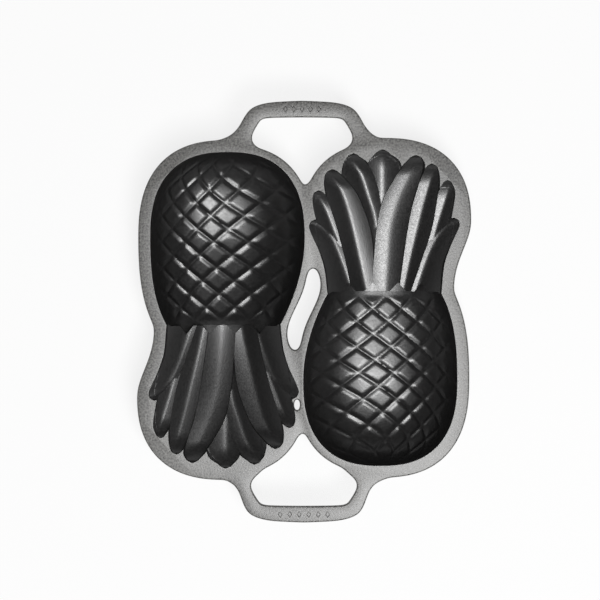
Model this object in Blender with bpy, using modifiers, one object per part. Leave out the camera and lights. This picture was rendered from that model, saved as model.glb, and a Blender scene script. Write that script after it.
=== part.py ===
"""Cast iron baking pan with two pineapple moulds lying head to tail between loop handles.

The pan is one casting. Each named region of it is its own solid, a hairline apart from the next.
All pieces are modelled round the pan's middle, with z = 0 on the flat top of the rim, and an
empty then lifts the pan so that it rests on z = 0. A mould is the right one; the left one is the
same shape turned half round.
"""

import math
from dataclasses import dataclass

import bmesh
import bpy
from mathutils import Vector
from mathutils.geometry import delaunay_2d_cdt

MM = 0.001

# The whole pan
PAN_HEIGHT = 51 * MM
RIM_THICKNESS = 5 * MM
RIM_WIDTH = 10 * MM
WALL = 4.5 * MM
SEAM = 0.3 * MM

# The pineapple's body, a half barrel, measured from its widest line
FRUIT_HALF_WIDTH = 65 * MM
FRUIT_BOTTOM_REACH = 72.5 * MM
FRUIT_NECK = 74 * MM
FRUIT_TAPER_REACH = 108 * MM
FRUIT_DEPTH = 44.5 * MM
FRUIT_NECK_RISE = 14.5 * MM
FRUIT_NECK_POWER = 1.25
FRUIT_POWER = 2.5
FRUIT_FLOOR_POWER = 2.2
FRUIT_WIDEST_Y = -59.5 * MM
FRUIT_AXIS_LEAN = 3.5 * MM
MOULD_OVERHANG = 0.8 * MM
FLAT_FOOT_TRIM = 1.5 * MM

# The diamond eyes of the body
EYE_STEP_ANGLE = math.radians(12)
EYE_HALF_PITCH = 11 * MM
EYE_TOP = FRUIT_NECK - 16 * MM
EYE_RELIEF = 1.6 * MM
EYE_TWIST = math.radians(0.125) / MM
EYE_OFFSET_ANGLE = math.radians(1.5)
EYE_FADE_ANGLE = math.radians(64)

# The leaf crown, measured from the neck
CROWN_HALF_WIDTH = 62.8 * MM
CROWN_WIDEST = 58.8 * MM
CROWN_TOP_REACH = 60.6 * MM
CROWN_POWER = 2.4
CROWN_TIP_DEPTH = 15 * MM
CROWN_BOWL_SHARE = 0.74
CROWN_BOWL_DEPTH = 6 * MM
LEAF_FALL_POWER = 1.6
LEAF_SIDE_DRAFT = math.radians(8)
# A leaf's floor climbs by this much more, per metre from its keel squared
LEAF_BOW = 5.0
LEAF_TIP_CURVE = 17 * MM
LEAF_TIP_SHARE = 0.33
LEAF_TIP_POWER = 1.6
LEAF_TIP_TURNS = (0.65, 0.95)
LEAF_LEAST_DEPTH = 2.5 * MM
LEAF_RIM_LIP = 0.8 * MM
LEAF_SAMPLES = 2

# The slanted slot through the web, and the small window beside it
SLOT_HALF_LENGTH = 35 * MM
SLOT_HALF_WIDTH = 7.5 * MM
SLOT_SWAY = 7.8 * MM
SLOT_SWAY_REACH = 25 * MM
WINDOW_CENTRE = (-5.8 * MM, -80.5 * MM)
WINDOW_HALF_SIZE = (2.6 * MM, 5.5 * MM)
WEB_HALF_LENGTH = 87 * MM
WEB_HALF_WIDTH = 60 * MM
WEB_FILL = 32 * MM

# The finger openings between the handles and the moulds
OPENING_RIM = 6 * MM
OPENING_TIP = (1 * MM, 103.5 * MM)
HANDLE_SEAM_Y = 152 * MM

# The loop handles, and how they spread into the rims
HANDLE_BAR_WIDTH = 14 * MM
HANDLE_NECK_SPREAD = 5 * MM
HANDLE_SPREAD = 13 * MM
HANDLE_SPREAD_DROP = 7 * MM
HANDLE_ROOT_SPREAD = 30 * MM
HANDLE_ROOT_DROP = 18 * MM
HANDLE_ROOT_LIFT = 4 * MM
TOP_HANDLE_SHIFT = -1.5 * MM
TOP_HANDLE_REACH = 175 * MM
TOP_HANDLE_HALF_WIDTH = 49 * MM
TOP_OPENING_HALF_WIDTH = 42.5 * MM
BOTTOM_HANDLE_REACH = 180 * MM
BOTTOM_HANDLE_HALF_WIDTH = 51 * MM
BOTTOM_OPENING_HALF_WIDTH = 45 * MM

CURVE_STEPS = 30
FAR = 250 * MM
MERGE_DISTANCE = 0.001 * MM
PLAN_TOLERANCE = 0.0001 * MM
TOP_STEP = 0.2 * MM

# Finishes
IRON_METALLIC = 0.9
CUP_COLOUR = (0.06, 0.06, 0.062)
CUP_ROUGHNESS = 0.45
RIM_COLOUR = (0.2, 0.195, 0.185)
RIM_ROUGHNESS = 0.5


@dataclass(frozen=True)
class Handle:
    """One loop handle: its bar's outer edge, its width and its finger opening."""

    name: str
    side: int
    centre_x: float
    reach: float
    half_width: float
    opening_half_width: float


HANDLES = (
    Handle("top_handle", 1, TOP_HANDLE_SHIFT, TOP_HANDLE_REACH, TOP_HANDLE_HALF_WIDTH,
           TOP_OPENING_HALF_WIDTH),
    Handle("bottom_handle", -1, 0.0, BOTTOM_HANDLE_REACH, BOTTOM_HANDLE_HALF_WIDTH,
           BOTTOM_OPENING_HALF_WIDTH),
)


@dataclass(frozen=True)
class Leaf:
    """One leaf of the crown, as the hollow that moulds it.

    Its floor is a V: from the keel it climbs to the left and to the right edge at slopes in
    degrees, one steep and one nearly level. Depths are of the keel, in millimetres, at the root
    and the tip. Each station is (height above the neck, left edge, keel, right edge) in
    millimetres at the rim, from root to tip.
    """

    name: str
    root_depth: float
    tip_depth: float
    left_slope: float
    right_slope: float
    stations: tuple


LEAVES = (
    Leaf("middle", 15.5, 7.5, 13, 13, (
        (43.5, -19, -1.5, 14.5), (73, -18.5, -1.5, 15), (94, -16.5, -1.5, 14.5),
        (109, -13, -1.5, 12.5), (116, -7.5, -1.5, 4))),
    Leaf("left_inner", 20, 9, 26, 12, (
        (35.5, -22.5, -4.5, -0.5), (62, -28, -7.4, -1.5), (81.5, -33, -13.2, -4),
        (97.5, -36, -18.6, -8.5), (108.5, -33.8, -24.7, -15), (113.5, -30.5, -26.8, -21.5))),
    Leaf("left_outer", 16.5, 7.5, 28, 1.5, (
        (5, -39, -25, -19), (30, -47.5, -33.5, -29), (51, -54, -41.5, -36.5),
        (68, -58.7, -48, -42), (78, -60, -52.5, -46.5), (83, -59, -54.6, -51.5))),
    Leaf("right_outer", 14.5, 6, 1.5, 28, (
        (5, 23, 30, 38), (31, 31.5, 38, 46.5), (54, 38, 43.8, 53.5),
        (71.5, 43.5, 49, 57.2), (84, 45.7, 52.6, 58.7), (92, 49.7, 54.2, 56))),
    Leaf("right_inner", 23, 8, 1.5, 27, (
        (-1.5, 10.5, 16, 22.5), (25, 15, 21.5, 31.5), (52, 20, 27.8, 40),
        (74, 24.5, 33, 44), (92.5, 30, 38, 45.5), (102.5, 34, 40.5, 44.5), (105.5, 36, 40.3, 43.2))),
    Leaf("left_front", 28.5, 11, 26, 1.5, (
        (-1.5, -27, -13.5, -9.5), (25, -32, -19, -8.5), (50.5, -38.6, -24.8, -11),
        (73, -46, -30.8, -18.5), (86.5, -49.5, -36, -25.5), (96.5, -49.6, -42, -34.5),
        (100.5, -47.8, -44, -39.5))),
    Leaf("right_front", 29.5, 10, 1.5, 11, (
        (-1.5, -10, 1, 12.5), (28.5, -8, 3, 16.5), (55.5, -5.5, 5.5, 20.5),
        (78, -0.5, 11.5, 25), (95.5, 9, 19, 30.5), (106.5, 16.5, 24.5, 32.8),
        (111.8, 21.2, 27, 31))),
    Leaf("left_low", 20.5, 8.5, 28, 1.5, (
        (-1.5, -47, -26, -22.4), (18.5, -49.2, -32.4, -28.7), (34.5, -54.3, -38.2, -34.4),
        (46, -60, -43.5, -39.2), (54, -63, -50.2, -46.3), (58.5, -61.8, -56.5, -53.5))),
    Leaf("right_low", 19, 8, 1.5, 28, (
        (-1.5, 22.5, 26.5, 47), (22, 29.9, 34, 49), (38, 36, 40.2, 54.5),
        (48.5, 41.2, 46, 59.5), (55.5, 47.2, 51.8, 62.5), (60, 54.2, 57.5, 61.8))),
)

CROWN_LENGTH = CROWN_WIDEST + CROWN_TOP_REACH
NECK_Y = FRUIT_WIDEST_Y + FRUIT_NECK
MOULD_X = FRUIT_HALF_WIDTH - MOULD_OVERHANG
PAN_MIDDLE_Y = (HANDLES[1].reach - HANDLES[0].reach) / 2


def smooth_step(share):
    """Rise from 0 to 1 with level ends."""
    share = min(max(share, 0.0), 1.0)
    return share * share * (3 - 2 * share)


def rounded(share, power):
    """Height of a super-ellipse of unit size at a share of its reach."""
    return max(1 - min(abs(share), 1.0) ** power, 0.0) ** (1 / power)


def signed_power(value, power):
    return math.copysign(abs(value) ** power, value)


def axis_x(along):
    """Middle line of a mould at a distance above the body's widest line."""
    return MOULD_X + FRUIT_AXIS_LEAN * smooth_step(along / FRUIT_NECK)


def half_width(along, grow=0.0):
    """Half the width of a mould's smooth outline, grown outwards all round."""
    if along <= 0:
        return (FRUIT_HALF_WIDTH + grow) * rounded(along / (FRUIT_BOTTOM_REACH + grow), FRUIT_POWER)
    if along <= FRUIT_NECK:
        return (FRUIT_HALF_WIDTH + grow) * rounded(along / (FRUIT_TAPER_REACH + grow), 2)
    rise = along - FRUIT_NECK
    if rise <= CROWN_WIDEST:
        neck = half_width(FRUIT_NECK, grow)
        return neck + (CROWN_HALF_WIDTH + grow - neck) * smooth_step((rise / CROWN_WIDEST) ** 1.25)
    over = (rise - CROWN_WIDEST) / (CROWN_TOP_REACH + grow)
    return (CROWN_HALF_WIDTH + grow) * rounded(over, CROWN_POWER)


def fruit_depth(along, grow=0.0):
    """Depth of the body's deepest line."""
    if along <= 0:
        return (FRUIT_DEPTH + grow) * rounded(along / (FRUIT_BOTTOM_REACH + grow), FRUIT_POWER)
    return FRUIT_DEPTH + grow - FRUIT_NECK_RISE * (along / FRUIT_NECK) ** FRUIT_NECK_POWER


def crown_depth(rise, grow=0.0):
    """Depth of the smooth form that holds the crown."""
    neck_depth = fruit_depth(FRUIT_NECK, grow)
    base = neck_depth + (CROWN_TIP_DEPTH + grow - neck_depth) * rise / CROWN_LENGTH
    return base * rounded(rise / (CROWN_LENGTH + grow), 9)


def seam_x(y):
    """Where the two moulds' walls part, across the web."""
    reach = abs(y)
    if reach < SLOT_SWAY_REACH:
        sway = SLOT_SWAY * math.sin(reach / SLOT_SWAY_REACH * math.pi / 2)
    else:
        to_tip = (reach - SLOT_SWAY_REACH) / (OPENING_TIP[1] - SLOT_SWAY_REACH)
        sway = SLOT_SWAY + (OPENING_TIP[0] - SLOT_SWAY) * smooth_step(to_tip)
    return math.copysign(sway, y)


def through_points(points, samples):
    """A smooth run through points of any dimension, with samples on each stretch."""
    run = []
    last = len(points) - 1
    for index in range(last):
        before = points[max(index - 1, 0)]
        start = points[index]
        end = points[index + 1]
        after = points[min(index + 2, last)]
        for step in range(samples):
            t = step / samples
            run.append(tuple(
                0.5 * (2 * b + (c - a) * t + (2 * a - 5 * b + 4 * c - d) * t ** 2
                       + (3 * b - a - 3 * c + d) * t ** 3)
                for a, b, c, d in zip(before, start, end, after)))
    run.append(tuple(points[last]))
    return run


def mesh_object(name, mesh, collection):
    part = bpy.data.objects.new(name, mesh)
    collection.objects.link(part)
    return part


def baked(part):
    """Apply a part's modifiers, or turn a curve into a mesh with its caps welded."""
    bpy.context.view_layer.update()
    graph = bpy.context.evaluated_depsgraph_get()
    mesh = bpy.data.meshes.new_from_object(part.evaluated_get(graph))
    work = bmesh.new()
    work.from_mesh(mesh)
    bmesh.ops.remove_doubles(work, verts=work.verts, dist=MERGE_DISTANCE)
    work.to_mesh(mesh)
    work.free()
    name = part.name
    collection = part.users_collection[0]
    matrix = part.matrix_world.copy()
    bpy.data.objects.remove(part)
    whole = mesh_object(name, mesh, collection)
    whole.matrix_world = matrix
    return whole


def plate(name, outline, low, high, collection):
    """A flat outline made solid between two heights."""
    curve = bpy.data.curves.new(name, "CURVE")
    curve.dimensions = "2D"
    curve.fill_mode = "BOTH"
    curve.extrude = (high - low) / 2
    spline = curve.splines.new("POLY")
    spline.points.add(len(outline) - 1)
    for point, (x, y) in zip(spline.points, outline):
        point.co = (x, y, 0, 1)
    spline.use_cyclic_u = True
    part = mesh_object(name, curve, collection)
    part.location.z = (high + low) / 2
    part = baked(part)
    part.data.transform(part.matrix_world)
    part.matrix_world.identity()
    return part


def combine(part, other, operation):
    """Cut or trim a part by another solid."""
    modifier = part.modifiers.new(other.name, "BOOLEAN")
    modifier.operation = operation
    modifier.solver = "EXACT"
    modifier.object = other


def fold_order(swells):
    """Sort key of a diagonal: how far it is from level, then its height."""
    return round(abs(swells[0] - swells[1]) / MERGE_DISTANCE), sum(swells)


def loft(name, rings, collection, swells=None):
    """A closed solid through rings of equal count, with a flat cap on each end ring.

    Where swells are given, each face is folded along its more level diagonal, and along the
    lower one of two level diagonals, so that the folds follow the ridges between the eyes.
    """
    work = bmesh.new()
    rows = [[work.verts.new(point) for point in ring] for ring in rings]
    count = len(rings[0])
    for place, (row, after) in enumerate(zip(rows, rows[1:])):
        for index in range(count):
            following = (index + 1) % count
            corners = (row[index], row[following], after[following], after[index])
            if not swells:
                work.faces.new(corners)
                continue
            here, beyond = swells[place], swells[place + 1]
            rising = (here[index], beyond[following])
            falling = (here[following], beyond[index])
            if fold_order(rising) < fold_order(falling):
                work.faces.new((corners[0], corners[1], corners[2]))
                work.faces.new((corners[0], corners[2], corners[3]))
            else:
                work.faces.new((corners[0], corners[1], corners[3]))
                work.faces.new((corners[1], corners[2], corners[3]))
    work.faces.new(list(reversed(rows[0])))
    work.faces.new(rows[-1])
    # A Boolean takes each face as flat, so the twisted ones are split.
    bmesh.ops.triangulate(work, faces=work.faces)
    bmesh.ops.recalc_face_normals(work, faces=work.faces)
    mesh = bpy.data.meshes.new(name)
    work.to_mesh(mesh)
    work.free()
    return mesh_object(name, mesh, collection)


def eye_relief(angle_steps, rows):
    """How far an eye's pillow stands out at a place given in half eyes across and along."""
    across = (angle_steps + rows) / 2
    along = (angle_steps - rows) / 2
    pillow = 1.0
    for place in (across, along):
        from_middle = abs(2 * (place - math.floor(place)) - 1)
        pillow *= 1 - from_middle ** 3
    return pillow


def eye_swell(place, along):
    """How far the body's surface swells at an angle across its section."""
    if along > EYE_TOP:
        return 0.0
    fade = smooth_step((math.pi / 2 - abs(place)) / (math.pi / 2 - EYE_FADE_ANGLE))
    end_fade = smooth_step((along + FRUIT_BOTTOM_REACH) / EYE_HALF_PITCH)
    return EYE_RELIEF * fade * end_fade * eye_relief(
        place / EYE_STEP_ANGLE + 1, (EYE_TOP - along) / EYE_HALF_PITCH)


def section(along, width, depth, top, columns, powers, swells=None):
    """One cross ring of a mould: a half super-ellipse below a level top.

    The swells, one for each column, push the ring outwards and turn it with the eyes' spiral.
    """
    across_power, depth_power = powers
    middle = axis_x(along)
    twist = EYE_OFFSET_ANGLE + EYE_TWIST * (EYE_TOP - along) if swells else 0.0
    ring = []
    for column in range(columns + 1):
        share = 2 * column / columns - 1
        angle = share * math.pi / 2 + twist * (1 - share ** 2)
        swell = swells[column] if swells else 0.0
        x = (width + swell) * signed_power(math.sin(angle), 2 / across_power)
        z = top - (depth + top + swell) * max(math.cos(angle), 0.0) ** (2 / depth_power)
        ring.append((middle + x, FRUIT_WIDEST_Y + along, max(z, -PAN_HEIGHT)))
    return ring


def fruit_hollow(top, collection):
    """The body's hollow, with its diamond eyes."""
    rows = [FRUIT_NECK]
    row = EYE_TOP
    while row > -FRUIT_BOTTOM_REACH * 0.97:
        rows.append(row)
        row -= EYE_HALF_PITCH / 2
    rows += [-FRUIT_BOTTOM_REACH * share for share in (0.975, 0.99, 0.997)]
    columns = 2 * round(math.pi / EYE_STEP_ANGLE)
    places = [math.pi * (column / columns - 0.5) for column in range(columns + 1)]
    swells = [[eye_swell(place, along) for place in places] for along in rows]
    powers = (FRUIT_POWER, FRUIT_FLOOR_POWER)
    rings = [
        section(along, half_width(along), fruit_depth(along), top, columns, powers, swell)
        for along, swell in zip(rows, swells)]
    return loft("right_hollow", rings, collection, swells)


def fruit_outside(name, top, end, collection):
    """The smooth outside of the body's cup, cut off level where it stands."""
    stand = PAN_HEIGHT - FRUIT_DEPTH + FLAT_FOOT_TRIM
    reach = FRUIT_BOTTOM_REACH + WALL
    shares = (0.8, 0.6, 0.4, 0.2, 0, -0.2, -0.4, -0.55, -0.7, -0.8, -0.88, -0.94, -0.975, -0.993)
    rings = []
    for along in [end] + [share * (reach if share < 0 else FRUIT_NECK) for share in shares]:
        depth = fruit_depth(along, WALL) * (FRUIT_DEPTH + stand) / (FRUIT_DEPTH + WALL)
        rings.append(section(
            along, half_width(along, WALL), depth, top, 22, (FRUIT_POWER, FRUIT_FLOOR_POWER)))
    return loft(name, rings, collection)


def crown_outside(name, top, collection):
    """The smooth outside of the crown's cup."""
    rings = []
    reach = CROWN_LENGTH + WALL
    for share in (0.0, 0.13, 0.27, 0.4, 0.52, 0.63, 0.73, 0.81, 0.88, 0.93, 0.965, 0.987, 0.997):
        rise = SEAM / 2 + (reach - SEAM / 2) * share
        along = FRUIT_NECK + rise
        rings.append(section(
            along, half_width(along, WALL), crown_depth(rise, WALL), top, 20, (5, 2.6)))
    return loft(name, rings, collection)


def leaf_stations(leaf):
    """A leaf's stations at a fine pitch, closed by a blunt point."""
    stations = through_points(leaf.stations, LEAF_SAMPLES)
    rise, left, keel, right = stations[-1]
    middle = (left + right) / 2
    for turn in LEAF_TIP_TURNS:
        close = 1 - turn ** LEAF_TIP_POWER
        stations.append((
            rise + (right - left) * LEAF_TIP_SHARE * turn, middle + (left - middle) * close,
            middle + (keel - middle) * close, middle + (right - middle) * close))
    return stations


def leaf_solid(leaf, top, collection):
    """A leaf's hollow: a keeled floor that curves up to the tip, open above the rim."""
    stations = leaf_stations(leaf)
    first = leaf.stations[0][0]
    last = leaf.stations[-1][0]
    tip = stations[-1][0]
    rings = []
    for rise, left, keel, right in stations:
        share = min(max((rise - first) / (last - first), 0.0), 1.0)
        fall = (leaf.root_depth - leaf.tip_depth) * share ** LEAF_FALL_POWER
        deep = (leaf.root_depth - fall) * MM
        spoon = rounded(max((rise - tip) * MM / LEAF_TIP_CURVE + 1, 0.0), 2)
        keel_x = axis_x(FRUIT_NECK) + keel * MM
        y = NECK_Y + rise * MM
        sides = []
        for edge, slope in ((left, leaf.left_slope), (right, leaf.right_slope)):
            reach = (edge - keel) * MM
            climb = abs(reach) * math.tan(math.radians(slope)) + LEAF_BOW * reach ** 2
            depth = max(max(deep - climb, LEAF_LEAST_DEPTH) * spoon, LEAF_RIM_LIP)
            out = math.copysign((top + depth) * math.tan(LEAF_SIDE_DRAFT), reach)
            sides.append([(keel_x + reach + out, y, top), (keel_x + reach, y, -depth)])
        keel_point = (keel_x, y, -max(deep * spoon, LEAF_RIM_LIP))
        rings.append(sides[0] + [keel_point] + sides[1][::-1])
    return loft(leaf.name + "_leaf_hollow", rings, collection)


def crown_bowl(top, collection):
    """A shallow bowl under the leaves, so that nothing stands between them."""
    rings = []
    for share in (-0.03, 0.1, 0.3, 0.5, 0.65, 0.75, 0.82):
        rise = CROWN_LENGTH * share
        along = FRUIT_NECK + max(rise, 0.0)
        width = half_width(along) * CROWN_BOWL_SHARE
        ring = section(along, width, CROWN_BOWL_DEPTH, top, 8, (4, 4))
        rings.append([(x, NECK_Y + rise, z) for x, y, z in ring])
    return loft("crown_bowl", rings, collection)


def mould_hollow(collection):
    """The solids that make up a pineapple's hollow, body and crown, overlapping each other."""
    solids = [fruit_hollow(RIM_THICKNESS, collection)]
    solids.append(crown_bowl(RIM_THICKNESS - TOP_STEP, collection))
    for order, leaf in enumerate(LEAVES, start=1):
        solids.append(leaf_solid(leaf, RIM_THICKNESS + order * TOP_STEP, collection))
    return solids


def mould_outline(grow):
    """Closed outline round a whole right mould, grown outwards."""
    bottom = FRUIT_BOTTOM_REACH + grow
    top = FRUIT_NECK + CROWN_LENGTH + grow
    right = []
    for step in range(CURVE_STEPS + 1):
        along = (top - bottom) / 2 - (top + bottom) / 2 * math.cos(math.pi * step / CURVE_STEPS)
        right.append((along, half_width(along, grow)))
    outline = [(axis_x(a) + w, FRUIT_WIDEST_Y + a) for a, w in right]
    outline += [(axis_x(a) - w, FRUIT_WIDEST_Y + a) for a, w in reversed(right[1:-1])]
    return outline


def anticlockwise(points):
    """The same outline, run anticlockwise."""
    area = sum(a[0] * b[1] - b[0] * a[1] for a, b in zip(points, points[1:] + points[:1]))
    return points if area > 0 else points[::-1]


def turned(points):
    """The same points turned half round the pan's middle."""
    return [(-x, -y) for x, y in points]


def mirrored_outline(half_points, handle, samples):
    """A closed outline from its right half, for a handle at either end of the pan."""
    half = through_points(half_points, samples)
    whole = half + [(-x, y) for x, y in reversed(half[1:])]
    return [(handle.centre_x + x, handle.side * y) for x, y in whole]


def handle_outline(handle):
    """Outer edge of a handle, spreading into the rims at its roots."""
    half = handle.half_width
    reach = handle.reach
    root = HANDLE_SEAM_Y - HANDLE_ROOT_DROP
    return mirrored_outline((
        (0, reach), (half * 0.55, reach - 1.5 * MM), (half * 0.84, reach - 5.5 * MM),
        (half * 0.97, reach - 12 * MM), (half + HANDLE_NECK_SPREAD, HANDLE_SEAM_Y),
        (half + HANDLE_SPREAD, HANDLE_SEAM_Y - HANDLE_SPREAD_DROP),
        (half + HANDLE_ROOT_SPREAD, root + HANDLE_ROOT_LIFT),
        (half + 8 * MM, root)), handle, 4)


def opening_outline(handle):
    """Edge of a finger opening, down to the meeting of the two moulds' rims."""
    half = handle.opening_half_width
    inner = handle.reach - HANDLE_BAR_WIDTH
    outline = mirrored_outline((
        (0, inner), (half * 0.74, inner - 0.8 * MM), (half * 0.86, inner - 5 * MM),
        (half * 0.96, inner - 12 * MM), (half, inner - 17 * MM),
        (half * 0.97, inner - 22 * MM)), handle, 4)
    middle = len(outline) // 2 + 1
    tip_x, tip_y = (handle.side * value for value in OPENING_TIP)
    return outline[:middle] + [(tip_x, tip_y)] + outline[middle:]


def slot_outline():
    """Edge of the slanted slot, which follows the space between the moulds."""
    right = []
    for step in range(25):
        y = -SLOT_HALF_LENGTH * math.cos(math.pi * step / 24)
        right.append((seam_x(y), SLOT_HALF_WIDTH * rounded(y / SLOT_HALF_LENGTH, 2.4), y))
    outline = [(middle + half, y) for middle, half, y in right]
    outline += [(middle - half, y) for middle, half, y in reversed(right[1:-1])]
    return outline


def window_outline():
    """Rounded edge of the small window in the web."""
    outline = []
    for step in range(16):
        angle = math.tau * step / 16
        outline.append((
            WINDOW_CENTRE[0] + WINDOW_HALF_SIZE[0] * signed_power(math.cos(angle), 0.6),
            WINDOW_CENTRE[1] + WINDOW_HALF_SIZE[1] * signed_power(math.sin(angle), 0.6)))
    return outline


def seam_side(offset):
    """Region to the right of the seam between the moulds, moved right by an offset."""
    edge = []
    for step in range(41):
        y = -FAR + 2 * FAR * step / 40
        reach = min(abs(y), OPENING_TIP[1])
        edge.append((seam_x(math.copysign(reach, y)) + offset, y))
    return edge + [(FAR, FAR), (FAR, -FAR)]


def box_outline(x_low, x_high, y_low, y_high):
    return [(x_low, y_low), (x_high, y_low), (x_high, y_high), (x_low, y_high)]


def dress(part, colour, roughness):
    """Give a part its own seasoned cast iron, in a plain shade."""
    material = bpy.data.materials.new(part.name + "_iron")
    material.use_nodes = True
    shader = material.node_tree.nodes["Principled BSDF"]
    shader.inputs["Base Color"].default_value = (*colour, 1)
    shader.inputs["Metallic"].default_value = IRON_METALLIC
    shader.inputs["Roughness"].default_value = roughness
    part.data.materials.clear()
    part.data.materials.append(material)


def build_cups(solids, cutters, hollows, window):
    """The four cups under the rim plate, each cut by its hollow."""
    top = -RIM_THICKNESS - SEAM
    keep = plate("right_of_seam", seam_side(SEAM / 2), -FAR, FAR, cutters)
    cups = []
    for region in ("fruit", "crown"):
        if region == "fruit":
            body = fruit_outside("right_fruit_cup", top, FRUIT_NECK - SEAM / 2, solids)
        else:
            body = crown_outside("right_crown_cup", top, solids)
        combine(body, keep, "INTERSECT")
        for hollow in hollows:
            combine(body, hollow, "DIFFERENCE")
        body = baked(body)
        twin = mesh_object("left_%s_cup" % region, body.data.copy(), solids)
        twin.rotation_euler.z = math.pi
        cups += [body, twin]
    right_fruit, left_fruit, right_crown, left_crown = cups
    for cup in (right_fruit, left_crown):
        combine(cup, window, "DIFFERENCE")
    for cup in cups:
        dress(cup, CUP_COLOUR, CUP_ROUGHNESS)


def plan_outlines():
    """Every outline that the rim plate is cut from, by name."""
    half = SEAM / 2
    outlines = {
        "right_disc": mould_outline(RIM_WIDTH),
        "left_disc": turned(mould_outline(RIM_WIDTH)),
        "web_disc": box_outline(-WEB_FILL, WEB_FILL, -FRUIT_NECK, FRUIT_NECK),
        "right_guard": mould_outline(OPENING_RIM),
        "left_guard": turned(mould_outline(OPENING_RIM)),
        "slot": slot_outline(),
        "window": window_outline(),
        "right_side": seam_side(half),
        "left_side": turned(seam_side(half)),
        "web": box_outline(
            -WEB_HALF_WIDTH, WEB_HALF_WIDTH, -WEB_HALF_LENGTH, WEB_HALF_LENGTH),
        "web_clearance": box_outline(
            -WEB_HALF_WIDTH, WEB_HALF_WIDTH, -WEB_HALF_LENGTH - SEAM, WEB_HALF_LENGTH + SEAM),
        "top_band": box_outline(-FAR, FAR, HANDLE_SEAM_Y + half, FAR),
        "right_crown_band": box_outline(-FAR, FAR, NECK_Y + half, HANDLE_SEAM_Y - half),
        "right_fruit_band": box_outline(-FAR, FAR, half - HANDLE_SEAM_Y, NECK_Y - half),
    }
    outlines["bottom_band"] = turned(outlines["top_band"])
    outlines["left_crown_band"] = turned(outlines["right_crown_band"])
    outlines["left_fruit_band"] = turned(outlines["right_fruit_band"])
    for handle in HANDLES:
        outlines[handle.name] = handle_outline(handle)
        outlines[handle.name + "_opening"] = opening_outline(handle)
    return outlines


def node_at(inside):
    """Name of the plate's region at a place, from the outlines that the place is inside."""
    discs = {"right_disc", "left_disc", "web_disc", "top_handle", "bottom_handle"}
    openings = {"top_handle_opening", "bottom_handle_opening"}
    if not inside & discs or inside & {"slot", "window"}:
        return None
    if inside & openings and not inside & {"right_guard", "left_guard"}:
        return None
    if "top_band" in inside:
        return "top_handle"
    if "bottom_band" in inside:
        return "bottom_handle"
    if "web" in inside:
        return "centre_web"
    if "web_clearance" in inside:
        return None
    for side in ("right", "left"):
        for region in ("crown", "fruit"):
            if {side + "_side", "%s_%s_band" % (side, region)} <= inside:
                return "%s_%s_rim" % (side, region)
    return None


def plate_regions():
    """Flat triangles of each region of the rim plate, with the points they share."""
    outlines = plan_outlines()
    names = list(outlines)
    points = []
    faces = []
    for name in names:
        first = len(points)
        points += [Vector(point) for point in anticlockwise(outlines[name])]
        faces.append(list(range(first, len(points))))
    plan = delaunay_2d_cdt(points, [], faces, 0, PLAN_TOLERANCE)
    corners, triangles, owners = plan[0], plan[2], plan[5]
    regions = {}
    for triangle, owner in zip(triangles, owners):
        node = node_at({names[index] for index in owner})
        if node:
            regions.setdefault(node, []).append(triangle)
    return corners, regions


def build_plate(solids, hollows):
    """The flat rim plate with its handles, parted into its named regions."""
    corners, regions = plate_regions()
    for name, triangles in sorted(regions.items()):
        work = bmesh.new()
        used = {}
        for triangle in triangles:
            for index in triangle:
                if index not in used:
                    used[index] = work.verts.new((*corners[index], 0))
            work.faces.new([used[index] for index in triangle])
        bmesh.ops.dissolve_limit(
            work, angle_limit=math.radians(0.5), verts=work.verts, edges=work.edges)
        bmesh.ops.recalc_face_normals(work, faces=work.faces)
        if work.faces and next(iter(work.faces)).normal.z < 0:
            bmesh.ops.reverse_faces(work, faces=work.faces)
        mesh = bpy.data.meshes.new(name)
        work.to_mesh(mesh)
        work.free()
        part = mesh_object(name, mesh, solids)
        thickness = part.modifiers.new("thickness", "SOLIDIFY")
        thickness.thickness = RIM_THICKNESS
        thickness.offset = -1
        for hollow in hollows:
            combine(part, hollow, "DIFFERENCE")
        dress(baked(part), RIM_COLOUR, RIM_ROUGHNESS)


def main():
    for old in list(bpy.data.objects):
        bpy.data.objects.remove(old)
    solids = bpy.data.collections.new("pineapple_pan")
    cutters = bpy.data.collections.new("cutters")
    for collection in (solids, cutters):
        bpy.context.scene.collection.children.link(collection)

    right_hollows = mould_hollow(cutters)
    left_hollows = []
    for hollow in right_hollows:
        twin = mesh_object("left_" + hollow.name, hollow.data, cutters)
        twin.rotation_euler.z = math.pi
        left_hollows.append(twin)
    window = plate("window", window_outline(), -FAR, FAR, cutters)
    build_cups(solids, cutters, right_hollows, window)
    build_plate(solids, right_hollows + left_hollows)

    datum = bpy.data.objects.new("pan_middle", None)
    datum.location = (0, PAN_MIDDLE_Y, PAN_HEIGHT)
    bpy.context.scene.collection.objects.link(datum)
    for shape in (*solids.objects, *cutters.objects):
        shape.parent = datum
    for cutter in cutters.objects:
        cutter.hide_render = True
        cutter.display_type = "WIRE"
    for part in solids.objects:
        part.data.shade_smooth()
        part.data.set_sharp_from_angle(angle=math.radians(30))


main()
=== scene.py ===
"""Looks of a cast iron cake pan with two pineapple moulds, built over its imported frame.

The pan is one casting, shown as a rim plate with its two loop handles and the two mould bodies
under it. Shapes are worked out round the pan's middle with z = 0 on the flat top of the rim, and
are then moved to where the frame has them. The left mould is the right one turned half round.
"""

import logging
import math
from collections.abc import Sequence
from dataclasses import dataclass, field
from enum import Enum

import bmesh
import bpy
import numpy as np
from mathutils import Matrix, Vector
from mathutils.geometry import delaunay_2d_cdt


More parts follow.
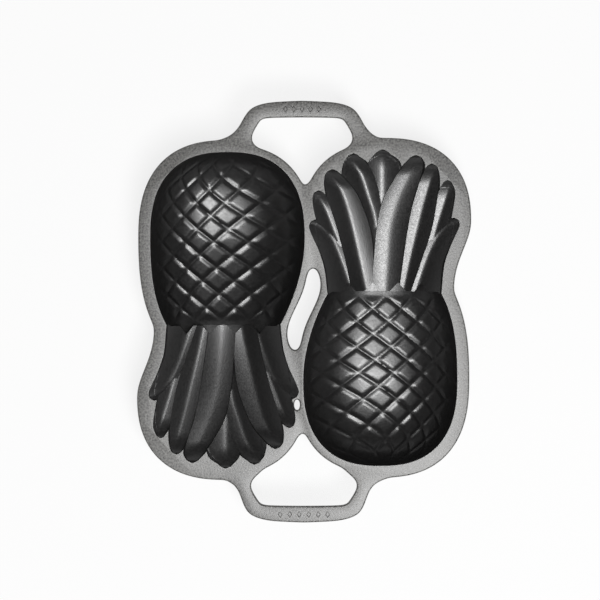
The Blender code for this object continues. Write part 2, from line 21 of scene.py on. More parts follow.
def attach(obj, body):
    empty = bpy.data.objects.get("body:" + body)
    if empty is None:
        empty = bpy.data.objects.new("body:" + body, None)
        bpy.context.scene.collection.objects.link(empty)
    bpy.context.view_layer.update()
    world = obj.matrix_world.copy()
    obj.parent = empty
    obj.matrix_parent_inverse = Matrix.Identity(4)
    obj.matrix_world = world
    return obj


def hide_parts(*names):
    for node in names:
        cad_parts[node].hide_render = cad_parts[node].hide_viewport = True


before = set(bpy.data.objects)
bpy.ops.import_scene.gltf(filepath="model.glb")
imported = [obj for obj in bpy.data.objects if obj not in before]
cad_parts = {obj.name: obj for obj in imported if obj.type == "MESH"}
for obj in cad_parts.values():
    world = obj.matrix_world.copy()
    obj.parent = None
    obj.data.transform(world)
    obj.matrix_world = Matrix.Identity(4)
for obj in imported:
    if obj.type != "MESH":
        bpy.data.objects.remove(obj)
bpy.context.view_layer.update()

MM = 0.001
WHITE = "#ffffff"

# How near two points of an outline, or of a flat face, count as one
OUTLINE_MERGE = 0.0001 * MM
FILL_MERGE = 0.00001 * MM

HALF_TURN = Matrix.Rotation(math.pi, 4, "Z")

# A point of the pan's plan, and a place in space
Point = tuple[float, float]
Place = tuple[float, float, float]
Piece = bpy.types.Object
Material = bpy.types.Material
Tree = bpy.types.NodeTree
Node = bpy.types.Node
Socket = bpy.types.NodeSocket

log = logging.getLogger("pineapple_pan")


class Side(Enum):
    """Which of the two moulds."""

    RIGHT = "right"
    LEFT = "left"


class HandleEnd(Enum):
    """Which end of the pan a handle is at, as the sign of its y."""

    TOP = 1
    BOTTOM = -1


def linear(hex_colour: str) -> tuple[float, float, float, float]:
    """Turn an sRGB hex colour into linear light.

    Args:
        hex_colour: Six hex digits after a hash.

    Returns:
        Red, green, blue and an alpha of 1.
    """
    channels = [int(hex_colour[start:start + 2], 16) / 255 for start in (1, 3, 5)]
    lit = [c / 12.92 if c <= 0.04045 else ((c + 0.055) / 1.055) ** 2.4 for c in channels]
    return (lit[0], lit[1], lit[2], 1.0)


def smooth_step(share: float) -> float:
    """Rise from 0 to 1 with level ends."""
    share = min(max(share, 0.0), 1.0)
    return share * share * (3 - 2 * share)


def rounded(share: float, power: float) -> float:
    """Height of a super-ellipse of unit size at a share of its reach."""
    return max(1 - min(abs(share), 1.0) ** power, 0.0) ** (1 / power)


def signed_power(value: float, power: float) -> float:
    """Raise a number's size to a power and keep its sign."""
    return math.copysign(abs(value) ** power, value)


def through_points(points: Sequence[Sequence[float]], samples: int) -> list[tuple[float, ...]]:
    """Run a smooth line through points of any dimension.

    Args:
        points: The points to pass through.
        samples: How many steps each stretch takes.

    Returns:
        The points of the smooth line, ends included.
    """
    run = []
    last = len(points) - 1
    for index in range(last):
        before = points[max(index - 1, 0)]
        start = points[index]
        end = points[index + 1]
        after = points[min(index + 2, last)]
        for step in range(samples):
            t = step / samples
            run.append(tuple(
                0.5 * (2 * b + (c - a) * t + (2 * a - 5 * b + 4 * c - d) * t ** 2
                       + (3 * b - a - 3 * c + d) * t ** 3)
                for a, b, c, d in zip(before, start, end, after)))
    run.append(tuple(points[last]))
    return run


def arc_shares(columns: int, across: float, down: float) -> list[Point]:
    """Shares of width and of depth along a rounded trough, from one edge to the other.

    Args:
        columns: How many steps it takes.
        across: Power of the share of the width.
        down: Power of the share of the depth.

    Returns:
        The pairs of shares.
    """
    angles = [math.pi * (column / columns - 0.5) for column in range(columns + 1)]
    return [(signed_power(math.sin(a), across), max(math.cos(a), 0.0) ** down) for a in angles]


def area(points: Sequence[Point]) -> float:
    """Area inside an outline, above zero where it runs anticlockwise."""
    following = list(points[1:]) + [points[0]]
    return sum(a[0] * b[1] - b[0] * a[1] for a, b in zip(points, following)) / 2


def anticlockwise(points: Sequence[Point]) -> list[Point]:
    """The same outline, run anticlockwise."""
    return list(points) if area(points) > 0 else list(points)[::-1]


def both_sides(rows: Sequence[tuple[float, float, float]]) -> list[Point]:
    """A closed outline from rows of (middle, half width, y), whose ends have no width."""
    outline = [(middle + half, y) for middle, half, y in rows]
    return outline + [(middle - half, y) for middle, half, y in reversed(rows[1:-1])]


def add_node(
    tree: Tree, kind: str, inputs: dict[int | str, object] | None = None, **settings: object
) -> Node:
    """Add a node with its settings, its plain values and its links.

    Args:
        tree: The node tree that takes the node.
        kind: The node's type name.
        inputs: Plain value, source socket or source node of each input, by name or place.
            A source node gives its first output.
        **settings: Values of the node's own properties.

    Returns:
        The new node.
    """
    node = tree.nodes.new(kind)
    for name, value in settings.items():
        setattr(node, name, value)
    for key, value in (inputs or {}).items():
        if isinstance(value, Node):
            value = value.outputs[0]
        if isinstance(value, Socket):
            tree.links.new(value, node.inputs[key])
        else:
            node.inputs[key].default_value = value
    return node


def start_tree(name: str, inputs: dict[str, str]) -> tuple[Tree, Node]:
    """Start a geometry node tree that takes and gives geometry.

    Args:
        name: Name of the tree.
        inputs: Socket type of each further input, by name. An iron is always one of them.

    Returns:
        The tree and the node that gives its inputs.
    """
    tree = bpy.data.node_groups.new(name, "GeometryNodeTree")
    for label, kind in {"Geometry": "Geometry", **inputs, "Iron": "Material"}.items():
        tree.interface.new_socket(label, in_out="INPUT", socket_type="NodeSocket" + kind)
    tree.interface.new_socket("Geometry", in_out="OUTPUT", socket_type="NodeSocketGeometry")
    return tree, add_node(tree, "NodeGroupInput")


def end_tree(tree: Tree, given: Node, geometry: Node) -> None:
    """End a geometry node tree with real geometry, clad in its iron."""
    real = add_node(tree, "GeometryNodeRealizeInstances", {"Geometry": geometry})
    clad = add_node(tree, "GeometryNodeSetMaterial", {
        "Geometry": real, "Material": given.outputs["Iron"]})
    add_node(tree, "NodeGroupOutput", {"Geometry": clad})


def dress_tree(piece: Piece, tree: Tree, values: dict[str, object]) -> None:
    """Run a node tree on a piece and keep the plain mesh that it makes.

    Args:
        piece: The piece that takes the tree's result.
        tree: The geometry node tree.
        values: Value of each named input.
    """
    modifier = piece.modifiers.new(tree.name, "NODES")
    modifier.node_group = tree
    for item in tree.interface.items_tree:
        if item.in_out == "INPUT" and item.name in values:
            modifier[item.identifier] = values[item.name]
    settle(piece)


def add_material(name: str) -> tuple[Material, Tree, Node]:
    """Start a node material: the material, its tree and its shader."""
    material = bpy.data.materials.new(name)
    material.use_nodes = True
    return material, material.node_tree, material.node_tree.nodes["Principled BSDF"]


def add_mesh(name: str, work: bmesh.types.BMesh) -> Piece:
    """Put worked geometry into the scene as a mesh object, and free the work."""
    mesh = bpy.data.meshes.new(name)
    work.to_mesh(mesh)
    work.free()
    return add_object(name, mesh)


def add_object(name: str, content: bpy.types.ID) -> Piece:
    """Put a mesh, a lamp or a camera into the scene under a name."""
    piece = bpy.data.objects.new(name, content)
    bpy.context.scene.collection.objects.link(piece)
    return piece


def drop(piece: Piece) -> None:
    """Take a helper object out of the scene."""
    bpy.data.objects.remove(piece)


def settle(piece: Piece) -> None:
    """Keep what a piece's modifiers make of it, as its plain mesh."""
    bpy.context.view_layer.update()
    graph = bpy.context.evaluated_depsgraph_get()
    mesh = bpy.data.meshes.new_from_object(piece.evaluated_get(graph))
    piece.modifiers.clear()
    piece.data = mesh


def combine(piece: Piece, other: Piece, operation: str) -> None:
    """Cut or trim a piece by another solid, whose faces keep their own finish.

    Args:
        piece: The solid that changes.
        other: What it is combined with.
        operation: DIFFERENCE or INTERSECT.
    """
    modifier = piece.modifiers.new(other.name, "BOOLEAN")
    modifier.operation = operation
    modifier.solver = "EXACT"
    modifier.material_mode = "TRANSFER"
    modifier.object = other
    settle(piece)


def loft(name: str, rings: Sequence[Sequence[Place]]) -> Piece:
    """Make a closed solid through rings of equal count, with a cap on each end.

    Args:
        name: Name of the solid.
        rings: Each ring's points, in metres.

    Returns:
        The solid, with its faces pointing out.
    """
    count = len(rings[0])
    points = np.array(rings, float).reshape(-1, 3)
    place = np.arange(len(rings) * count).reshape(len(rings), count)
    after = np.roll(place, -1, axis=1)
    quads = np.stack((place[:-1], after[:-1], after[1:], place[1:]), axis=-1).reshape(-1, 4)
    faces = [tuple(quad) for quad in quads.tolist()]
    faces.append(tuple(reversed(place[0].tolist())))
    faces.append(tuple(place[-1].tolist()))
    mesh = bpy.data.meshes.new(name)
    mesh.from_pydata(points.tolist(), [], faces)
    work = bmesh.new()
    work.from_mesh(mesh)
    # A Boolean takes each face as flat, so the twisted ones are split.
    bmesh.ops.triangulate(work, faces=work.faces)
    bmesh.ops.recalc_face_normals(work, faces=work.faces)
    work.to_mesh(mesh)
    work.free()
    return add_object(name, mesh)


def prism(name: str, outline: Sequence[Point], low: float, high: float) -> Piece:
    """A flat outline made a closed solid between two heights."""
    run = anticlockwise(outline)
    return loft(name, [[(x, y, z) for x, y in run] for z in (low, high)])


@dataclass(frozen=True)
class IronFinish:
    """Seasoned cast iron: sand-cast, then coated with baked oil.

    The oil bakes to a thin dark glassy film, so the iron reads as a dark body under a soft
    sheen, and the sand's grain breaks the sheen into fine speckles.
    """

    name: str
    dark: str
    light: str
    roughness: tuple[float, float]
    metallic: float
    specular: float
    grain: float
    grain_height: float
    speckle_span: tuple[float, float] = (0.32, 0.68)
    noise_span: tuple[float, float] = (0.3, 0.7)
    drift_grain: float = 40 * MM
    drift_tone: float = 0.12

    def material(self) -> Material:
        """Build the finish's node material, patterned on Object coordinates."""
        material, tree, shader = add_material(self.name)
        low, high = self.noise_span
        where = add_node(tree, "ShaderNodeTexCoord").outputs["Object"]
        # One noise cell spans about twice the grain that it stands for.
        grain = add_node(tree, "ShaderNodeTexNoise", {
            "Vector": where, "Scale": 1 / (2 * self.grain), "Detail": 3.0, "Roughness": 0.6})
        # The casting's slow change of tone
        drift = add_node(tree, "ShaderNodeTexNoise", {
            "Vector": where, "Scale": 1 / (2 * self.drift_grain), "Detail": 2.0})
        speckle = add_node(tree, "ShaderNodeMapRange", {
            "Value": grain, "From Min": self.speckle_span[0], "From Max": self.speckle_span[1]})
        cast = add_node(tree, "ShaderNodeMapRange", {
            "Value": drift, "From Min": low, "From Max": high,
            "To Min": -self.drift_tone, "To Max": self.drift_tone})
        tone = add_node(
            tree, "ShaderNodeMath", {0: speckle, 1: cast}, operation="ADD", use_clamp=True)
        colour = add_node(tree, "ShaderNodeMix", {"Factor": tone}, data_type="RGBA")
        colour.inputs["A"].default_value = linear(self.dark)
        colour.inputs["B"].default_value = linear(self.light)
        gloss = add_node(tree, "ShaderNodeMapRange", {
            "Value": grain, "From Min": low, "From Max": high,
            "To Min": self.roughness[0], "To Max": self.roughness[1]})
        bump = add_node(tree, "ShaderNodeBump", {
            "Height": grain, "Strength": 1.0, "Distance": self.grain_height})
        tree.links.new(colour.outputs["Result"], shader.inputs["Base Color"])
        tree.links.new(gloss.outputs["Result"], shader.inputs["Roughness"])
        tree.links.new(bump.outputs["Normal"], shader.inputs["Normal"])
        shader.inputs["Metallic"].default_value = self.metallic
        shader.inputs["Specular IOR Level"].default_value = self.specular
        return material


@dataclass(frozen=True)
class PaintFinish:
    """Matt white board of a photographer's table: an even, chalky surface."""

    name: str
    colour: str
    roughness: float
    glow_share: float

    def material(self) -> Material:
        """Build the board's material, which looks nearly white and keeps a soft shadow."""
        material, tree, shader = add_material(self.name)
        shader.inputs["Base Color"].default_value = linear(self.colour)
        shader.inputs["Roughness"].default_value = self.roughness
        path = add_node(tree, "ShaderNodeLightPath")
        seen = path.outputs["Is Camera Ray"]
        for kind in ("Is Glossy Ray", "Is Transmission Ray"):
            seen = add_node(
                tree, "ShaderNodeMath", {0: seen, 1: path.outputs[kind]}, operation="MAXIMUM")
        share = add_node(
            tree, "ShaderNodeMath", {0: seen, 1: self.glow_share}, operation="MULTIPLY")
        white = add_node(tree, "ShaderNodeEmission", {"Color": linear(WHITE), "Strength": 1.0})
        mixed = add_node(tree, "ShaderNodeMixShader", {0: share, 1: shader, 2: white})
        tree.links.new(mixed.outputs[0], tree.nodes["Material Output"].inputs["Surface"])
        return material


# The rim's grey is partly a rougher, greyer finish and partly a painted sheen of its flat face
# under the lamp. The cavity's near-black is partly the dark seasoning and partly painted shade of
# its steep walls. So the two finishes are partly lit and shaded copies of one seasoned iron.
RIM_IRON_AND_PAINTED_SHEEN = IronFinish(
    "seasoned_cast_iron_rim_painted_sheen", "#222121", "#777673", (0.34, 0.46), 0.0, 0.85, 0.85 * MM,
    0.11 * MM)
CAVITY_IRON_AND_PAINTED_SHADE = IronFinish(
    "seasoned_cast_iron_cavity_painted_shade", "#0b0b0b", "#191818", (0.28, 0.42), 0.0, 1.0, 0.7 * MM,
    0.07 * MM)
TABLE_BOARD = PaintFinish("white_table_board", "#f7f7f7", 0.9, 0.82)


@dataclass(frozen=True)
class MouldForm:
    """The smooth form of a pineapple mould, measured along its length from its widest line."""

    half_width_max: float = 65 * MM
    bottom_reach: float = 72.5 * MM
    neck: float = 74 * MM
    taper_reach: float = 108 * MM
    depth: float = 44.5 * MM
    neck_rise: float = 14.5 * MM
    neck_power: float = 1.25
    power: float = 2.5
    floor_power: float = 2.2
    widest_y: float = -59.5 * MM
    axis_lean: float = 3.5 * MM
    middle_x: float = 64.2 * MM
    crown_half_width: float = 62.8 * MM
    crown_widest: float = 58.8 * MM
    crown_top_reach: float = 60.6 * MM
    crown_power: float = 2.4
    crown_swell: float = 1.25
    crown_tip_depth: float = 15 * MM
    crown_end_power: float = 9

    @property
    def crown_length(self) -> float:
        """Length of the crown above the neck."""
        return self.crown_widest + self.crown_top_reach

    @property
    def neck_y(self) -> float:
        """Where the neck lies along the pan."""
        return self.widest_y + self.neck

    def axis_x(self, along: float) -> float:
        """Middle line of the mould at a distance above its widest line."""
        return self.middle_x + self.axis_lean * smooth_step(along / self.neck)

    def half_width(self, along: float, grow: float = 0.0) -> float:
        """Half the width of the smooth outline.

        Args:
            along: Distance above the widest line.
            grow: How far the outline is grown outwards.

        Returns:
            The distance from the middle line to the outline.
        """
        widest = self.half_width_max + grow
        if along <= 0:
            return widest * rounded(along / (self.bottom_reach + grow), self.power)
        if along <= self.neck:
            return widest * rounded(along / (self.taper_reach + grow), 2)
        rise = along - self.neck
        crown = self.crown_half_width + grow
        if rise <= self.crown_widest:
            neck = self.half_width(self.neck, grow)
            swell = smooth_step((rise / self.crown_widest) ** self.crown_swell)
            return neck + (crown - neck) * swell
        over = (rise - self.crown_widest) / (self.crown_top_reach + grow)
        return crown * rounded(over, self.crown_power)

    def deepest(self, along: float, grow: float = 0.0) -> float:
        """Depth of the body's deepest line, or of the crown's smooth form past the neck.

        Args:
            along: Distance above the widest line.
            grow: How far the form is grown outwards.

        Returns:
            The depth below the rim's top.
        """
        if along <= 0:
            return (self.depth + grow) * rounded(along / (self.bottom_reach + grow), self.power)
        if along <= self.neck:
            return self.depth + grow - self.neck_rise * (along / self.neck) ** self.neck_power
        rise = along - self.neck
        neck_depth = self.deepest(self.neck, grow)
        base = neck_depth + (self.crown_tip_depth + grow - neck_depth) * rise / self.crown_length
        return base * rounded(rise / (self.crown_length + grow), self.crown_end_power)

    def outline(self, grow: float, steps: int) -> list[Point]:
        """Closed outline round the whole mould.

        Args:
            grow: How far the outline is grown outwards.
            steps: How many steps run up each side.

        Returns:
            The outline's points, in the pan's plane.
        """
        bottom = self.bottom_reach + grow
        top = self.neck + self.crown_length + grow
        rows = []
        for step in range(steps + 1):
            along = (top - bottom) / 2 - (top + bottom) / 2 * math.cos(math.pi * step / steps)
            rows.append((
                self.axis_x(along), self.half_width(along, grow), self.widest_y + along))
        return both_sides(rows)


@dataclass(frozen=True)
class Leaf:
    """One leaf of the crown, as the hollow that moulds it.

    Its floor is a V: from the keel it climbs one way as a steep riser and the other way as a
    nearly level tread. Each station is (height above the neck, left edge, keel, right edge) in
    millimetres at the rim, from root to tip; depths are of the keel.
    """

    name: str
    root_depth: float
    tip_depth: float
    left_slope: float
    right_slope: float
    stations: tuple[tuple[float, float, float, float], ...]


LEAVES = (
    Leaf("middle", 15.5, 7.5, 13, 13, (
        (43.5, -19, -1.5, 14.5), (73, -18.5, -1.5, 15), (94, -16.5, -1.5, 14.5),
        (109, -13, -1.5, 12.5), (116, -7.5, -1.5, 4))),
    Leaf("left_inner", 20, 9, 26, 12, (
        (35.5, -22.5, -4.5, -0.5), (62, -28, -7.4, -1.5), (81.5, -33, -13.2, -4),
        (97.5, -36, -18.6, -8.5), (108.5, -33.8, -24.7, -15), (113.5, -30.5, -26.8, -21.5))),
    Leaf("left_outer", 16.5, 7.5, 28, 1.5, (
        (5, -39, -25, -19), (30, -47.5, -33.5, -29), (51, -54, -41.5, -36.5),
        (68, -58.7, -48, -42), (78, -60, -52.5, -46.5), (83, -59, -54.6, -51.5))),
    Leaf("right_outer", 14.5, 6, 1.5, 28, (
        (5, 23, 30, 38), (31, 31.5, 38, 46.5), (54, 38, 43.8, 53.5),
        (71.5, 43.5, 49, 57.2), (84, 45.7, 52.6, 58.7), (92, 49.7, 54.2, 56))),
    Leaf("right_inner", 23, 8, 1.5, 27, (
        (-1.5, 10.5, 16, 22.5), (25, 15, 21.5, 31.5), (52, 20, 27.8, 40),
        (74, 24.5, 33, 44), (92.5, 30, 38, 45.5), (102.5, 34, 40.5, 44.5),
        (105.5, 36, 40.3, 43.2))),
    Leaf("left_front", 28.5, 11, 26, 1.5, (
        (-1.5, -27, -13.5, -9.5), (25, -32, -19, -8.5), (50.5, -38.6, -24.8, -11),
        (73, -46, -30.8, -18.5), (86.5, -49.5, -36, -25.5), (96.5, -49.6, -42, -34.5),
        (100.5, -47.8, -44, -39.5))),
    Leaf("right_front", 29.5, 10, 1.5, 11, (
        (-1.5, -10, 1, 12.5), (28.5, -8, 3, 16.5), (55.5, -5.5, 5.5, 20.5),
        (78, -0.5, 11.5, 25), (95.5, 9, 19, 30.5), (106.5, 16.5, 24.5, 32.8),
        (111.8, 21.2, 27, 31))),
    Leaf("left_low", 20.5, 8.5, 28, 1.5, (
        (-1.5, -47, -26, -22.4), (18.5, -49.2, -32.4, -28.7), (34.5, -54.3, -38.2, -34.4),
        (46, -60, -43.5, -39.2), (54, -63, -50.2, -46.3), (58.5, -61.8, -56.5, -53.5))),
    Leaf("right_low", 19, 8, 1.5, 28, (
        (-1.5, 22.5, 26.5, 47), (22, 29.9, 34, 49), (38, 36, 40.2, 54.5),
        (48.5, 41.2, 46, 59.5), (55.5, 47.2, 51.8, 62.5), (60, 54.2, 57.5, 61.8))),
)


@dataclass(frozen=True)
class LeafCrown:
    """The crown's hollow: nine leaves over a shallow bowl."""

    form: MouldForm
    leaves: tuple[Leaf, ...] = LEAVES
    top: float = 5 * MM
    top_step: float = 0.2 * MM
    samples: int = 12
    floor_steps: int = 7
    side_draft: float = math.radians(8)
    fall_power: float = 1.6
    # How fast the floor curves up away from the keel, per metre
    bow: float = 8.0
    tip_share: float = 0.33
    tip_power: float = 1.6
    tip_steps: int = 6
    tip_reach: float = 0.97
    tip_curve: float = 17 * MM
    rim_lip: float = 0.8 * MM
    keel_round: float = 1.6 * MM
    least_depth: float = 2.5 * MM
    bowl_share: float = 0.74
    bowl_depth: float = 6 * MM
    bowl_power: float = 0.5
    bowl_columns: int = 16
    bowl_rows: tuple[float, ...] = (
        -0.03, 0.05, 0.1, 0.2, 0.3, 0.4, 0.5, 0.6, 0.65, 0.7, 0.75, 0.8, 0.82)

    def leaf_stations(self, leaf: Leaf) -> list[tuple[float, ...]]:
        """A leaf's stations at a fine pitch, closed by a blunt point.

        Args:
            leaf: The leaf.

        Returns:
            Height, left edge, keel and right edge of each ring, in millimetres.
        """
        stations = through_points(leaf.stations, self.samples)
        rise, left, keel, right = stations[-1]
        middle = (left + right) / 2
        for step in range(1, self.tip_steps + 1):
            turn = self.tip_reach * step / self.tip_steps
            close = 1 - turn ** self.tip_power
            stations.append((
                rise + (right - left) * self.tip_share * turn,
                middle + (left - middle) * close, middle + (keel - middle) * close,
                middle + (right - middle) * close))
        return stations

    def leaf_ring(
        self, leaf: Leaf, station: Sequence[float], tip: float, top: float
    ) -> list[Place]:
        """Cross ring of a leaf's hollow.

        Args:
            leaf: The leaf.
            station: Height, left edge, keel and right edge, in millimetres.
            tip: Height of the leaf's very tip, in millimetres.
            top: Height of the ring's open top.

        Returns:
            The ring's points, from the left edge over the floor to the right edge.
        """
        rise, left, keel, right = (value * MM for value in station)
        first, last = leaf.stations[0][0] * MM, leaf.stations[-1][0] * MM
        share = min(max((rise - first) / (last - first), 0.0), 1.0)
        fall = (leaf.tip_depth - leaf.root_depth) * share ** self.fall_power
        deep = (leaf.root_depth + fall) * MM
        # The floor curves up to the rim over the leaf's last stretch.
        spoon = rounded(max((rise - tip * MM) / self.tip_curve + 1, 0.0), 2)
        middle = self.form.axis_x(self.form.neck)
        y = self.form.neck_y + rise
        sides = []
        for edge, slope in ((left, leaf.left_slope), (right, leaf.right_slope)):
            climb = math.tan(math.radians(slope))
            floor = []
            for step in range(self.floor_steps):
                x = edge + (keel - edge) * step / self.floor_steps
                soft = math.hypot(abs(x - keel), self.keel_round) - self.keel_round
                depth = max(deep - climb * soft - self.bow * soft ** 2, self.least_depth) * spoon
                floor.append((middle + x, y, -max(depth, self.rim_lip)))
            out = (top - floor[0][2]) * math.tan(self.side_draft)
            sides.append([(middle + edge + math.copysign(out, edge - keel), y, top)] + floor)
        keel_depth = max(deep * spoon, self.rim_lip)
        return sides[0] + [(middle + keel, y, -keel_depth)] + sides[1][::-1]

    def leaf_solid(self, leaf: Leaf, top: float) -> Piece:
        """Closed solid of one leaf's hollow, open above the rim up to a height."""
        stations = self.leaf_stations(leaf)
        tip = stations[-1][0]
        rings = [self.leaf_ring(leaf, station, tip, top) for station in stations]
        return loft(leaf.name + "_leaf", rings)

    def bowl(self, top: float) -> Piece:
        """A shallow bowl under the leaves, so that nothing stands between them."""
        form = self.form
        rings = []
        for share in self.bowl_rows:
            rise = form.crown_length * share
            along = form.neck + max(rise, 0.0)
            width = form.half_width(along) * self.bowl_share
            rings.append([
                (form.axis_x(along) + width * across, form.neck_y + rise,
                 top - (self.bowl_depth + top) * down)
                for across, down in arc_shares(
                    self.bowl_columns, self.bowl_power, self.bowl_power)])
        return loft("crown_bowl", rings)

    def build(self) -> list[Piece]:
        """Make every solid of the crown's hollow, the bowl first. They overlap."""
        solids = [self.bowl(self.top - self.top_step)]
        for order, leaf in enumerate(self.leaves, start=1):
            solids.append(self.leaf_solid(leaf, self.top + order * self.top_step))
        return solids


@dataclass(frozen=True)
class EyedBody:
    """The hollow of the pineapple's body, with its net of diamond eyes."""

    form: MouldForm
    top: float = 5 * MM
    step_angle: float = math.radians(10.5)
    edge_angle: float = math.radians(53)
    half_pitch: float = 11.15 * MM
    smooth_band: float = 15 * MM
    bare_band: float = 3 * MM
    fade_band: float = 8 * MM
    corner_rise: float = 1.2 * MM
    corner_share: float = 0.88
    corner_root: float = 1 * MM
    corner_lift: float = 0.2 * MM
    corner_columns: int = 9
    corner_places: tuple[int, ...] = (-4, -2, 0, 2, 4, 6)
    corner_shares: tuple[float, ...] = (0.5, 0.97)
    relief: float = 1.3 * MM
    flat_share: float = 0.52
    edge_power: float = 1.6
    ridge_round: float = 0.05
    # How far the lattice shifts sideways along the body, in half eyes per metre
    twist: float = 0.0105 / MM
    first_shift: float = 0.32
    fade_share: float = 0.72
    row_step: float = 0.8 * MM
    even_share: float = 0.9
    end_angle: float = math.radians(88)
    end_steps: int = 22
    columns: int = 210

    def rows(self) -> list[float]:
        """Places of the cross rings, from the neck down to the body's end."""
        bottom = self.form.bottom_reach
        rows = list(np.arange(self.form.neck, -self.even_share * bottom, -self.row_step))
        angle = math.asin(-rows[-1] / bottom)
        for step in range(1, self.end_steps + 1):
            turn = angle + (self.end_angle - angle) * step / self.end_steps
            rows.append(-bottom * math.sin(turn))
        return rows

    def columns_across(self, sideways: float, along: float) -> float:
        """Count of half eyes across the body, up to a share of its half width.

        Args:
            sideways: Share of the half width, below zero to the left.
            along: Distance above the widest line.

        Returns:
            The count, which the lattice's twist shifts with the distance.
        """
        shift = self.first_shift + self.twist * (self.form.neck - self.smooth_band - along)
        turn = math.asin(sideways * math.sin(self.edge_angle))
        return turn / self.step_angle + 1 - shift * (1 - sideways ** 2)

    def smooth_hollow(self) -> Piece:
        """The plain hollow, carrying what the eyes are placed by as point attributes."""
        form = self.form
        shares = arc_shares(self.columns, 2 / form.power, 2 / form.floor_power)
        rings = []
        across, down, fade, outward = [], [], [], []
        for along in self.rows():
            width = form.half_width(along)
            depth = form.deepest(along)
            top_fade = smooth_step((form.neck - self.bare_band - along) / self.fade_band)
            end_fade = smooth_step((along + form.bottom_reach) / self.half_pitch)
            ring = []
            for sideways, downwards in shares:
                ring.append((
                    form.axis_x(along) + width * sideways, form.widest_y + along,
                    self.top - (depth + self.top) * downwards))
                side_fade = (1 - abs(sideways)) / (1 - self.fade_share)
                across.append(self.columns_across(sideways, along))
                down.append((form.neck - self.smooth_band - along) / self.half_pitch)
                fade.append(smooth_step(side_fade) * end_fade * top_fade)
                outward.append((sideways, 0.0, -downwards))
            rings.append(ring)
        body = loft("body_hollow", rings)
        for name, values in (("across", across), ("down", down), ("fade", fade)):
            layer = body.data.attributes.new(name, "FLOAT", "POINT")
            layer.data.foreach_set("value", values)
        layer = body.data.attributes.new("outward", "FLOAT_VECTOR", "POINT")
        layer.data.foreach_set("vector", np.ravel(outward))
        return body

    @staticmethod
    def eye_tree() -> Tree:
        """Node tree that presses the eyes into the smooth hollow.

        Returns:
            A tree with the eyes' relief, flat middle, edge and ridge as named inputs.
        """
        names = ("Relief", "Flat Share", "Edge Power", "Ridge Round")
        tree, given = start_tree("diamond_eyes", {name: "Float" for name in names})
        kinds = {"across": "FLOAT", "down": "FLOAT", "fade": "FLOAT", "outward": "FLOAT_VECTOR"}
        across, down, fade, outward = (
            add_node(tree, "GeometryNodeInputNamedAttribute", {"Name": name}, data_type=kind)
            for name, kind in kinds.items())
        sums = "ShaderNodeMath"
        flats = []
        for operation in ("ADD", "SUBTRACT"):
            place = add_node(tree, sums, {0: across, 1: down}, operation=operation)
            half = add_node(tree, sums, {0: place, 1: 0.5}, operation="MULTIPLY")
            cell = add_node(tree, sums, {0: half}, operation="FRACT")
            centred = add_node(tree, sums, {0: cell, 1: 2.0, 2: -1.0}, operation="MULTIPLY_ADD")
            side = add_node(tree, sums, {0: centred}, operation="ABSOLUTE")
            bevel = add_node(tree, "ShaderNodeMapRange", {
                "Value": side, "From Min": given.outputs["Flat Share"], "From Max": 1.0})
            # A soft minimum with 1 rounds the ridge between two eyes.
            eased = add_node(tree, sums, {
                0: bevel, 1: 1.0, 2: given.outputs["Ridge Round"]}, operation="SMOOTH_MIN")
            steep = add_node(
                tree, sums, {0: eased, 1: given.outputs["Edge Power"]}, operation="POWER")
            flats.append(add_node(tree, sums, {0: 1.0, 1: steep}, operation="SUBTRACT"))
        pillow = add_node(tree, sums, {0: flats[0], 1: flats[1]}, operation="MULTIPLY")
        faded = add_node(tree, sums, {0: pillow, 1: fade}, operation="MULTIPLY")
        height = add_node(
            tree, sums, {0: faded, 1: given.outputs["Relief"]}, operation="MULTIPLY")
        push = add_node(
            tree, "ShaderNodeVectorMath", {0: outward, "Scale": height}, operation="SCALE")
        moved = add_node(tree, "GeometryNodeSetPosition", {"Geometry": given, "Offset": push})
        end_tree(tree, given, moved)
        return tree

    def corner(self, middle: float, half: float) -> Piece | None:
        """Upper corner of an eye that the neck cuts off, as a pointed solid.

        Args:
            middle: The eye's place, in half eyes across.
            half: Half its width at the neck, in half eyes.

        Returns:
            The closed solid, or nothing where the eye is too far up the body's side.
        """
        form = self.form
        shares = np.linspace(-1.0, 1.0, self.columns + 1)
        across = [self.columns_across(share, form.neck) for share in shares]
        edges = np.interp((-self.corner_share, self.corner_share), shares, across)
        if middle - half < edges[0] or middle + half > edges[1]:
            return None
        reach = half * self.half_pitch
        depth = form.deepest(form.neck)
        rings = []
        for rise in (-self.corner_root, 0.0, *(share * reach for share in self.corner_shares)):
            span = half * (1 - rise / reach)
            places = np.linspace(middle - span, middle + span, self.corner_columns)
            floor = []
            for share in np.interp(places, across, shares):
                downwards = (1 - abs(share) ** form.power) ** (1 / form.floor_power)
                z = self.top - (depth + self.top) * downwards + self.corner_lift
                floor.append((
                    form.axis_x(form.neck) + form.half_width(form.neck) * share,
                    form.neck_y + rise, z + self.corner_rise * max(rise, 0.0) / reach))
            rings.append([(*floor[0][:2], self.top), *floor, (*floor[-1][:2], self.top)])
        return loft("eye_corner", rings)

    def neck_corners(self) -> Piece:
        """The eyes' corners that reach in among the leaves' roots, as one mesh of solids."""
        # An eye here would end two half pitches above the lattice's start, past the neck.
        half = 2 - self.smooth_band / self.half_pitch
        work = bmesh.new()
        for middle in self.corner_places:
            corner = self.corner(middle, half)
            if corner:
                work.from_mesh(corner.data)
                drop(corner)
        return add_mesh("neck_corners", work)

    def build(self, iron: Material) -> Piece:
        """Make the closed solid of the hollow with its eyes, clad in iron."""
        body = self.smooth_hollow()
        dress_tree(body, self.eye_tree(), {
            "Relief": self.relief, "Flat Share": self.flat_share,
            "Edge Power": self.edge_power, "Ridge Round": self.ridge_round, "Iron": iron})
        for name in ("across", "down", "fade", "outward"):
            body.data.attributes.remove(body.data.attributes[name])
        return body


